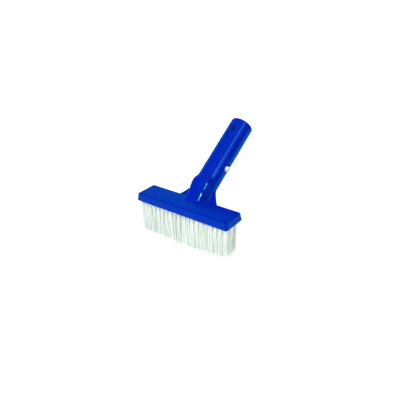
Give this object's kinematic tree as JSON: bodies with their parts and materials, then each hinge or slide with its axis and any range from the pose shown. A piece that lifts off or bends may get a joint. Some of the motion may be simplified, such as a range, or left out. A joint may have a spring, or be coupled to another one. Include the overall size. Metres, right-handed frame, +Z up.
{
  "type": "pool wall brush",
  "caption": "Hand brush for pool walls: a narrow moulded head with stiff nylon bristle tufts and a tubular handle leaning back, with a sprung clip for a pole.",
  "frame": {"origin": "centre of the flat top face of the brush head", "axes": "+X along the head, +Y towards the side that the handle leans to, +Z up out of the head's top face, bristles down"},
  "size_m": [0.13, 0.1354, 0.119],
  "materials": {
    "blue_plastic": "glossy injection moulded",
    "white_plastic": "satin moulded",
    "nylon_bristle": "translucent nylon filament"
  },
  "bodies": {
    "brush": {"brush_body": "blue_plastic", "clip_bow": "white_plastic", "tuft_column_01": "nylon_bristle", "tuft_column_02": "nylon_bristle", "tuft_column_03": "nylon_bristle", "tuft_column_04": "nylon_bristle", "tuft_column_05": "nylon_bristle", "tuft_column_06": "nylon_bristle", "tuft_column_07": "nylon_bristle", "tuft_column_08": "nylon_bristle", "tuft_column_09": "nylon_bristle", "tuft_column_10": "nylon_bristle", "tuft_column_11": "nylon_bristle", "tuft_column_12": "nylon_bristle", "tuft_column_13": "nylon_bristle", "tuft_column_14": "nylon_bristle", "tuft_column_15": "nylon_bristle", "tuft_column_16": "nylon_bristle", "tuft_column_17": "nylon_bristle", "tuft_column_18": "nylon_bristle", "tuft_column_19": "nylon_bristle", "tuft_column_20": "nylon_bristle"},
    "right_arm": {"clip_arm_right": "white_plastic"},
    "left_arm": {"clip_arm_left": "white_plastic"}
  },
  "joints": [
    {"name": "right_button_press", "type": "hinge", "parent": "brush", "child": "right_arm", "pos_m": [0.0051, 0.0399, 0.00947], "axis": [0, -0.5519, 0.8339], "range_deg": [0, 8], "stiffness_Nm_per_rad": 4},
    {"name": "left_button_press", "type": "hinge", "parent": "brush", "child": "left_arm", "pos_m": [-0.0051, 0.0399, 0.00947], "axis": [0, 0.5519, -0.8339], "range_deg": [0, 8], "stiffness_Nm_per_rad": 4}
  ]
}
